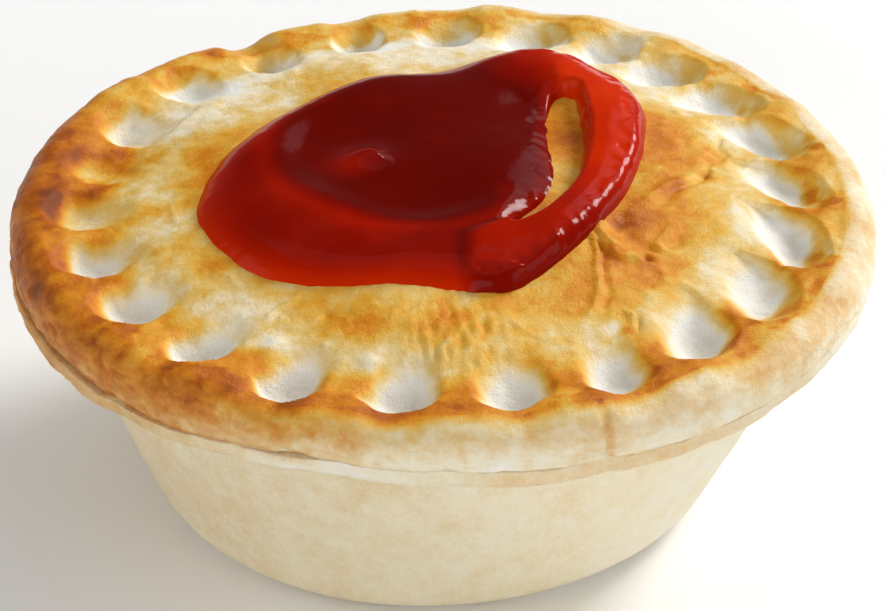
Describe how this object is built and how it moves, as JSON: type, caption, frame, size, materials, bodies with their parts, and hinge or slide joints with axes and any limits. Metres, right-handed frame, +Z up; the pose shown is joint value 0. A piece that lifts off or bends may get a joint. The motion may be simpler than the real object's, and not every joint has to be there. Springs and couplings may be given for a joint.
{
  "type": "meat pie",
  "caption": "Round deep meat pie with a finger-crimped rim, tapered pastry case, browned lid and tomato sauce squeezed on top.",
  "frame": {"origin": "on the table, at the middle of the pie's base box", "axes": "+Z up through the lid, -Y the front as the picture sees it, +X to the right of the picture"},
  "size_m": [0.1251, 0.1235, 0.0507],
  "materials": {
    "pastry_case": "pale baked pastry, dry and matt",
    "pastry_lid": "golden baked pastry with an egg glaze, softly shiny",
    "tomato_sauce": "wet glossy tomato sauce"
  },
  "bodies": {
    "root": {"pastry_case": "pastry_case", "pastry_lid": "pastry_lid", "tomato_sauce": "tomato_sauce"}
  },
  "joints": []
}
